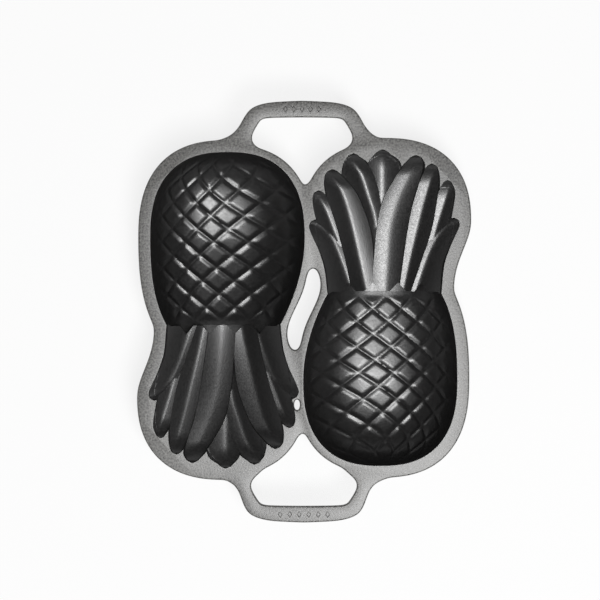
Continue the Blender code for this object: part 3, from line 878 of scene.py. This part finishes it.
@dataclass
class PineappleMould:
    """One mould body under the rim plate: its cup, cut by the body's and the leaves' hollows."""

    form: MouldForm
    body: EyedBody
    crown: LeafCrown
    wall: float = 4.5 * MM
    rim_thickness: float = 5 * MM
    pan_height: float = 51 * MM
    foot_trim: float = 1.5 * MM
    end_turn: float = math.radians(3)
    neck_blend: float = 12 * MM
    crown_across_power: float = 5
    crown_down_power: float = 2.6
    columns: int = 56
    rows: int = 72

    def hollow(self, iron: Material) -> list[Piece]:
        """The solids that make up the right pineapple's hollow, body and crown.

        Args:
            iron: Material of the hollow's surface.

        Returns:
            The solids, in pan coordinates. They overlap and are cut one after another.
        """
        others = [*self.crown.build(), self.body.neck_corners()]
        for solid in others:
            solid.data.materials.append(iron)
        return [self.body.build(iron), *others]

    def outside(self) -> Piece:
        """The smooth outside of the cup, cut off level where it stands.

        Returns:
            The solid, in pan coordinates, with its top under the rim plate.
        """
        form = self.form
        top = -self.rim_thickness
        stand = self.pan_height - form.depth + self.foot_trim
        low = -(form.bottom_reach + self.wall)
        high = form.neck + form.crown_length + self.wall
        rings = []
        for row in range(self.rows + 1):
            turn = self.end_turn + (math.pi - 2 * self.end_turn) * row / self.rows
            along = (low + high) / 2 - (high - low) / 2 * math.cos(turn)
            crowned = smooth_step(
                (along - form.neck + self.neck_blend) / (2 * self.neck_blend))
            depth = form.deepest(along, self.wall)
            depth *= 1 + (1 - crowned) * ((form.depth + stand) / (form.depth + self.wall) - 1)
            across_power = form.power + (self.crown_across_power - form.power) * crowned
            down_power = (
                form.floor_power + (self.crown_down_power - form.floor_power) * crowned)
            width = form.half_width(along, self.wall)
            rings.append([
                (form.axis_x(along) + width * across, form.widest_y + along,
                 max(top - (depth + top) * down, -self.pan_height))
                for across, down in arc_shares(
                    self.columns, 2 / across_power, 2 / down_power)])
        return loft("right_mould", rings)

    def build(
        self, hollow: Sequence[Piece], right_of_seam: Piece, window: Piece, iron: Material
    ) -> dict[Side, Piece]:
        """Make both moulds.

        Args:
            hollow: The solids of the right mould's hollow.
            right_of_seam: Solid that covers all to the right of the moulds' meeting line.
            window: Solid of the small window through the web.
            iron: Material of the outside.

        Returns:
            Each side's mould, in pan coordinates.
        """
        right = self.outside()
        right.data.materials.append(iron)
        combine(right, right_of_seam, "INTERSECT")
        for solid in hollow:
            combine(right, solid, "DIFFERENCE")
        left = add_object("left_mould", right.data.copy())
        left.data.transform(HALF_TURN)
        moulds = {Side.RIGHT: right, Side.LEFT: left}
        for mould in moulds.values():
            combine(mould, window, "DIFFERENCE")
        return moulds


@dataclass(frozen=True)
class LoopHandle:
    """One loop handle: its bar's outer edge, its width, its finger opening and its marks."""

    end: HandleEnd
    centre_x: float
    reach: float
    half_width: float
    bar_width: float
    opening_half_width: float
    mark_count: int
    mark_pitch: float
    samples: int = 8

    def mirrored(self, half_points: Sequence[Point]) -> list[Point]:
        """A closed outline from its right half, at this handle's end of the pan."""
        half = through_points(half_points, self.samples)
        whole = half + [(-x, y) for x, y in reversed(half[1:])]
        return [(self.centre_x + x, self.end.value * y) for x, y in whole]

    def outline(self, seam_y: float) -> list[Point]:
        """Outer edge of the handle, spreading into the rims at its roots.

        Args:
            seam_y: Distance from the pan's middle at which the handle springs from the rim.

        Returns:
            The outline's points.
        """
        half = self.half_width
        reach = self.reach
        root = seam_y - 18 * MM
        return self.mirrored((
            (0, reach), (half * 0.55, reach - 1.5 * MM), (half * 0.84, reach - 5.5 * MM),
            (half * 0.97, reach - 12 * MM), (half + 5 * MM, seam_y),
            (half + 13 * MM, seam_y - 7 * MM), (half + 30 * MM, root + 4 * MM),
            (half + 8 * MM, root)))

    def opening(self, tip: Point) -> list[Point]:
        """Edge of the finger opening, down to the meeting of the two moulds' rims.

        Args:
            tip: Lowest point of the top handle's opening.

        Returns:
            The outline's points.
        """
        half = self.opening_half_width
        inner = self.reach - self.bar_width
        outline = self.mirrored((
            (0, inner), (half * 0.74, inner - 0.8 * MM), (half * 0.86, inner - 5 * MM),
            (half * 0.96, inner - 12 * MM), (half, inner - 17 * MM),
            (half * 0.97, inner - 22 * MM)))
        middle = len(outline) // 2 + 1
        corner = (self.end.value * tip[0], self.end.value * tip[1])
        return outline[:middle] + [corner] + outline[middle:]


HANDLES = (
    LoopHandle(HandleEnd.TOP, -1.5 * MM, 175 * MM, 49 * MM, 14 * MM, 42.5 * MM, 5, 7 * MM),
    LoopHandle(HandleEnd.BOTTOM, 0.0, 180 * MM, 51 * MM, 14 * MM, 45 * MM, 6, 8 * MM),
)


@dataclass
class RimPlate:
    """The flat rim plate with its web, its slot and its two loop handles."""

    form: MouldForm
    handles: tuple[LoopHandle, ...] = HANDLES
    thickness: float = 5 * MM
    rim_width: float = 10 * MM
    opening_rim: float = 6 * MM
    opening_tip: Point = (1 * MM, 103.5 * MM)
    handle_seam_y: float = 152 * MM
    web_fill: float = 32 * MM
    slot_half_length: float = 35 * MM
    slot_half_width: float = 7.5 * MM
    slot_sway: float = 7.8 * MM
    slot_sway_reach: float = 25 * MM
    slot_power: float = 2.4
    slot_steps: int = 48
    window_centre: Point = (-5.8 * MM, -80.5 * MM)
    window_half_size: Point = (2.6 * MM, 5.5 * MM)
    window_power: float = 0.6
    window_steps: int = 24
    seam_steps: int = 100
    outline_steps: int = 120
    edge_round: float = 1.3 * MM
    edge_steps: int = 4
    edge_pitch: float = 1.2 * MM
    fillet_passes: int = 10
    least_loop: int = 16
    mark_size: float = 2.6 * MM
    mark_depth: float = 0.7 * MM
    mark_taper: float = 0.55
    mark_stretch: float = 1.45
    far: float = 250 * MM

    def seam_x(self, y: float) -> float:
        """Where the two moulds' walls part, across the web."""
        reach = abs(y)
        if reach < self.slot_sway_reach:
            sway = self.slot_sway * math.sin(reach / self.slot_sway_reach * math.pi / 2)
        else:
            to_tip = (reach - self.slot_sway_reach) / (self.opening_tip[1] - self.slot_sway_reach)
            sway = self.slot_sway + (self.opening_tip[0] - self.slot_sway) * smooth_step(to_tip)
        return math.copysign(sway, y)

    def slot_outline(self) -> list[Point]:
        """Edge of the slanted slot, which follows the space between the moulds."""
        rows = []
        for step in range(self.slot_steps + 1):
            y = -self.slot_half_length * math.cos(math.pi * step / self.slot_steps)
            half = self.slot_half_width * rounded(y / self.slot_half_length, self.slot_power)
            rows.append((self.seam_x(y), half, y))
        return both_sides(rows)

    def window_outline(self) -> list[Point]:
        """Rounded edge of the small window in the web."""
        (x, y), (half_x, half_y) = self.window_centre, self.window_half_size
        turns = [math.tau * step / self.window_steps for step in range(self.window_steps)]
        return [
            (x + half_x * signed_power(math.cos(turn), self.window_power),
             y + half_y * signed_power(math.sin(turn), self.window_power)) for turn in turns]

    def seam_side(self) -> list[Point]:
        """Region to the right of the seam between the moulds."""
        edge = []
        for step in range(self.seam_steps + 1):
            y = -self.far + 2 * self.far * step / self.seam_steps
            reach = min(abs(y), self.opening_tip[1])
            edge.append((self.seam_x(math.copysign(reach, y)), y))
        return edge + [(self.far, self.far), (self.far, -self.far)]

    def plan(self) -> dict[str, list[Point]]:
        """Every outline that the plate is cut from, by name."""
        outlines = {
            "right_disc": self.form.outline(self.rim_width, self.outline_steps),
            "right_guard": self.form.outline(self.opening_rim, self.outline_steps),
            "slot": self.slot_outline(),
            "window": self.window_outline(),
            "web_disc": [
                (x * self.web_fill, y * self.form.neck)
                for x, y in ((-1, -1), (1, -1), (1, 1), (-1, 1))],
        }
        for name in ("disc", "guard"):
            outlines["left_" + name] = [(-x, -y) for x, y in outlines["right_" + name]]
        for handle in self.handles:
            outlines[handle.end.name + "_handle"] = handle.outline(self.handle_seam_y)
            outlines[handle.end.name + "_opening"] = handle.opening(self.opening_tip)
        return outlines

    @staticmethod
    def is_iron(inside: set[str]) -> bool:
        """Say whether a place is plate, from the outlines that it is inside."""
        discs = {"right_disc", "left_disc", "web_disc", "TOP_handle", "BOTTOM_handle"}
        if not inside & discs or inside & {"slot", "window"}:
            return False
        opened = inside & {"TOP_opening", "BOTTOM_opening"}
        return not opened or bool(inside & {"right_guard", "left_guard"})

    def boundary_loops(self) -> list[list[Point]]:
        """Closed edges of the plate, each with the iron on its left.

        Returns:
            The loops, with the points where outlines cross still sharp.
        """
        outlines = self.plan()
        names = list(outlines)
        points: list[Vector] = []
        faces: list[list[int]] = []
        for name in names:
            first = len(points)
            points += [Vector(point) for point in anticlockwise(outlines[name])]
            faces.append(list(range(first, len(points))))
        made = delaunay_2d_cdt(points, [], faces, 0, OUTLINE_MERGE)
        directed = {
            (start, end) for triangle, owners in zip(made[2], made[5])
            if self.is_iron({names[index] for index in owners})
            for start, end in zip(triangle, triangle[1:] + triangle[:1])}
        edges = {start: end for start, end in directed if (end, start) not in directed}
        loops = []
        while edges:
            start = next(iter(edges))
            loop = [start]
            after = edges.pop(start)
            while after != start:
                loop.append(after)
                after = edges.pop(after)
            loops.append([tuple(made[0][index]) for index in loop])
        return loops

    def soft_loops(self) -> list[np.ndarray]:
        """The plate's edges at an even pitch, with their corners eased as a casting has them.

        Returns:
            One array of points for each loop.
        """
        loops = []
        for loop in self.boundary_loops():
            points = np.array(loop + loop[:1])
            steps = np.linalg.norm(np.diff(points, axis=0), axis=1)
            lengths = np.concatenate(([0], np.cumsum(steps)))
            count = max(int(lengths[-1] / self.edge_pitch), self.least_loop)
            places = np.linspace(0, lengths[-1], count, endpoint=False)
            even = np.stack([np.interp(places, lengths, points[:, axis]) for axis in (0, 1)], 1)
            for _ in range(self.fillet_passes):
                even = 0.5 * even + 0.25 * (np.roll(even, 1, 0) + np.roll(even, -1, 0))
            loops.append(even)
        return loops

    def solid(self) -> Piece:
        """The plate with rounded edges, before the hollows are cut.

        Returns:
            The closed solid, in pan coordinates.
        """
        turns = [math.pi / 2 * step / self.edge_steps for step in range(self.edge_steps + 1)]
        top = [(self.edge_round * (1 - math.sin(turn)), self.edge_round * (math.cos(turn) - 1))
               for turn in turns]
        bottom = [(inset, -self.thickness - z) for inset, z in reversed(top)]
        vertices: list[Place] = []
        faces: list[tuple[int, ...]] = []
        uppers, lowers = [], []
        for loop in self.soft_loops():
            along = np.roll(loop, -1, 0) - np.roll(loop, 1, 0)
            along /= np.linalg.norm(along, axis=1)[:, None]
            inward = np.stack((-along[:, 1], along[:, 0]), 1)
            rows = []
            for inset, z in top + bottom:
                first = len(vertices)
                ring = loop + inward * inset
                vertices += [(x, y, z) for x, y in ring.tolist()]
                rows.append(list(range(first, len(vertices))))
            for row, below in zip(rows, rows[1:]):
                faces += zip(row, below, below[1:] + below[:1], row[1:] + row[:1])
            uppers.append(rows[0])
            lowers.append(rows[-1])
        faces += self.fill(vertices, uppers, upwards=True)
        faces += self.fill(vertices, lowers, upwards=False)
        mesh = bpy.data.meshes.new("rim_plate")
        mesh.from_pydata(vertices, [], faces)
        return add_object("rim_plate", mesh)

    @staticmethod
    def fill(
        vertices: Sequence[Place], rings: Sequence[Sequence[int]], upwards: bool
    ) -> list[tuple[int, ...]]:
        """Fill the flat space between rings with triangles.

        Args:
            vertices: All vertices of the mesh so far.
            rings: Each ring's vertices, with the iron on its left.
            upwards: Whether the faces look up.

        Returns:
            The triangles, as places in the list of vertices.
        """
        order = []
        faces = []
        for ring in rings:
            plan = [vertices[index][:2] for index in ring]
            run = list(ring) if area(plan) > 0 else list(ring)[::-1]
            faces.append(list(range(len(order), len(order) + len(run))))
            order += run
        points = [Vector(vertices[index][:2]) for index in order]
        made = delaunay_2d_cdt(points, [], faces, 0, FILL_MERGE)
        sources = [origin[0] for origin in made[3]]
        triangles = []
        for triangle, owners in zip(made[2], made[5]):
            # A hole's triangles belong to the hole's ring and to the outer ring.
            if len(owners) != 1:
                continue
            corners = tuple(order[sources[index]] for index in triangle)
            triangles.append(corners if upwards else corners[::-1])
        return triangles

    def mark_tree(self) -> Tree:
        """Node tree that lays a row of plain lozenges.

        Returns:
            A tree with the row's count, pitch and size as named inputs.
        """
        tree, given = start_tree("lozenge_row", {
            "Count": "Int", "Pitch": "Float", "Size": "Float", "Depth": "Float"})
        step = add_node(tree, "ShaderNodeCombineXYZ", {"X": given.outputs["Pitch"]})
        row = add_node(tree, "GeometryNodeMeshLine", {
            "Count": given.outputs["Count"], "Offset": step})
        narrow = add_node(tree, "ShaderNodeMath", {
            0: given.outputs["Size"], 1: self.mark_taper}, operation="MULTIPLY")
        deep = add_node(tree, "ShaderNodeMath", {
            0: given.outputs["Depth"], 1: 2.0}, operation="MULTIPLY")
        lozenge = add_node(tree, "GeometryNodeMeshCone", {
            "Vertices": 4, "Radius Top": given.outputs["Size"], "Radius Bottom": narrow,
            "Depth": deep})
        squat = add_node(tree, "GeometryNodeTransform", {
            "Geometry": lozenge, "Scale": (1.0, self.mark_stretch, 1.0)})
        placed = add_node(tree, "GeometryNodeInstanceOnPoints", {
            "Points": row, "Instance": squat})
        end_tree(tree, given, placed)
        return tree

    def mark_row(self, handle: LoopHandle, tree: Tree, iron: Material) -> Piece:
        """Row of shallow lozenges to be cut into a handle's bar.

        Args:
            handle: The handle that takes the row.
            tree: The tree that lays the row.
            iron: Material of the cut faces.

        Returns:
            The solids to cut with, in pan coordinates.
        """
        row = add_object(handle.end.name + "_marks", bpy.data.meshes.new("marks"))
        dress_tree(row, tree, {
            "Count": handle.mark_count, "Pitch": handle.mark_pitch, "Size": self.mark_size,
            "Depth": self.mark_depth, "Iron": iron})
        start = handle.centre_x - handle.mark_pitch * (handle.mark_count - 1) / 2
        middle_y = handle.end.value * (handle.reach - handle.bar_width / 2)
        row.data.transform(Matrix.Translation((start, middle_y, -self.mark_depth)))
        return row

    def build(self, hollow: Sequence[Piece], iron: Material) -> Piece:
        """Make the plate and cut both hollows and the handles' marks into it.

        Args:
            hollow: The solids of the right mould's hollow.
            iron: Material of the plate.

        Returns:
            The plate, in pan coordinates.
        """
        plate = self.solid()
        plate.data.materials.append(iron)
        marks = self.mark_tree()
        for handle in self.handles:
            row = self.mark_row(handle, marks, iron)
            combine(plate, row, "DIFFERENCE")
            drop(row)
        for side in Side:
            log.info("cutting the %s hollow", side.value)
            for solid in hollow:
                combine(plate, solid, "DIFFERENCE")
            plate.data.transform(HALF_TURN)
        return plate


@dataclass
class Pan:
    """The whole casting."""

    middle: Vector = field(default_factory=lambda: Vector((0, 2.5 * MM, 51 * MM)))
    form: MouldForm = field(default_factory=MouldForm)
    crease: float = math.radians(42)
    window_reach: float = 100 * MM

    def finish_mesh(self, mesh: bpy.types.Mesh) -> None:
        """Move a piece's mesh to its place in the frame and shade it."""
        mesh.transform(Matrix.Translation(self.middle))
        mesh.shade_smooth()
        mesh.set_sharp_from_angle(angle=self.crease)

    def build(self) -> dict[str, Piece]:
        """Make the plate and both moulds, each under its name."""
        rim_iron = RIM_IRON_AND_PAINTED_SHEEN.material()
        cavity_iron = CAVITY_IRON_AND_PAINTED_SHADE.material()
        mould = PineappleMould(self.form, EyedBody(self.form), LeafCrown(self.form))
        plate_maker = RimPlate(self.form)
        hollow = mould.hollow(cavity_iron)
        seam = prism("seam", plate_maker.seam_side(), -plate_maker.far, plate_maker.far)
        window = prism(
            "window", plate_maker.window_outline(), -self.window_reach, self.window_reach)
        moulds = mould.build(hollow, seam, window, rim_iron)
        plate = plate_maker.build(hollow, rim_iron)
        for helper in (*hollow, seam, window):
            drop(helper)
        pieces = {"rim_plate": plate}
        pieces |= {side.value + "_mould": piece for side, piece in moulds.items()}
        for piece in pieces.values():
            self.finish_mesh(piece.data)
        return pieces

    def place(self, pieces: dict[str, Piece]) -> None:
        """Tell the frame what each piece stands for.

        Args:
            pieces: The finished pieces, by name.
        """
        plate_nodes = [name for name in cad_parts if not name.endswith("_cup")]
        stands_for = {
            "rim_plate": (plate_nodes, "rim_iron"),
            "right_mould": (["right_fruit_cup", "right_crown_cup"], "cup_iron"),
            "left_mould": (["left_fruit_cup", "left_crown_cup"], "cup_iron"),
        }
        for name, piece in pieces.items():
            nodes, slot = stands_for[name]
            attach(piece, "root")
            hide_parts(*nodes)
            triangles = sum(len(face.vertices) - 2 for face in piece.data.polygons)
            log.info("%s: %d triangles, stands for %s", name, triangles, ", ".join(nodes))


@dataclass(frozen=True)
class Softbox:
    """A flat studio lamp: where it hangs, its size across and along, and how strong it is."""

    name: str
    place: Point
    height: float
    width: float
    length: float
    watts: float

    def hang(self, aim: Vector) -> None:
        """Hang the lamp and turn it towards a place."""
        lamp = bpy.data.lights.new(self.name, "AREA")
        lamp.shape = "RECTANGLE"
        lamp.size = self.width
        lamp.size_y = self.length
        lamp.energy = self.watts
        holder = add_object(self.name, lamp)
        holder.location = (*self.place, self.height)
        holder.rotation_mode = "QUATERNION"
        holder.rotation_quaternion = (aim - holder.location).to_track_quat("-Z", "Y")


@dataclass(frozen=True)
class Studio:
    """White table, soft lamp and the camera over the pan."""

    softbox: Softbox = Softbox("key_softbox", (0.36, -0.58), 2.5, 0.75, 1.4, 61.0)
    wall_height: float = 0.45
    ceiling_light: float = 0.07
    view_centre: Vector = field(default_factory=lambda: Vector((-3.3 * MM, 10.35 * MM, 51 * MM)))
    view_width: float = 504 * MM
    camera_height: float = 2.0
    camera_set_back: float = 67 * MM
    sensor_mm: float = 36.0
    table_half: float = 6.0

    def table(self) -> None:
        """Lay the white table under the pan."""
        work = bmesh.new()
        bmesh.ops.create_grid(work, x_segments=2, y_segments=2, size=self.table_half)
        table = add_mesh("table", work)
        table.data.materials.append(TABLE_BOARD.material())

    def room(self) -> None:
        """White walls round the table, and a dim ceiling that the iron mirrors."""
        world = bpy.data.worlds.new("white_room")
        world.use_nodes = True
        tree = world.node_tree
        tree.nodes.clear()
        where = add_node(tree, "ShaderNodeTexCoord").outputs["Generated"]
        height = add_node(tree, "ShaderNodeSeparateXYZ", {"Vector": where}).outputs["Z"]
        strength = add_node(tree, "ShaderNodeMapRange", {
            "Value": height, "From Max": self.wall_height, "To Min": 1.0,
            "To Max": self.ceiling_light}, interpolation_type="SMOOTHSTEP")
        glow = add_node(tree, "ShaderNodeBackground", {
            "Color": linear(WHITE), "Strength": strength})
        add_node(tree, "ShaderNodeOutputWorld", {"Surface": glow})
        bpy.context.scene.world = world

    def camera(self) -> None:
        """Hang the camera over the pan as the photographer did."""
        lens = bpy.data.cameras.new("camera")
        distance = math.hypot(self.camera_height, self.camera_set_back)
        lens.sensor_width = self.sensor_mm
        lens.lens = self.sensor_mm * distance / self.view_width
        holder = add_object("camera", lens)
        holder.location = self.view_centre + Vector((0, self.camera_set_back, self.camera_height))
        tilt = -math.atan2(self.camera_set_back, self.camera_height)
        holder.rotation_euler = (tilt, 0.0, 0.0)
        bpy.context.scene.camera = holder

    def build(self) -> None:
        """Set up the table, the light and the camera."""
        self.table()
        self.room()
        self.camera()
        self.softbox.hang(self.view_centre)
        bpy.context.scene.view_settings.view_transform = "Standard"


def main() -> None:
    """Build the pan and its studio."""
    logging.basicConfig(level=logging.INFO, format="%(name)s: %(message)s")
    Studio().build()
    pan = Pan()
    pan.place(pan.build())


if __name__ == "__main__":
    main()
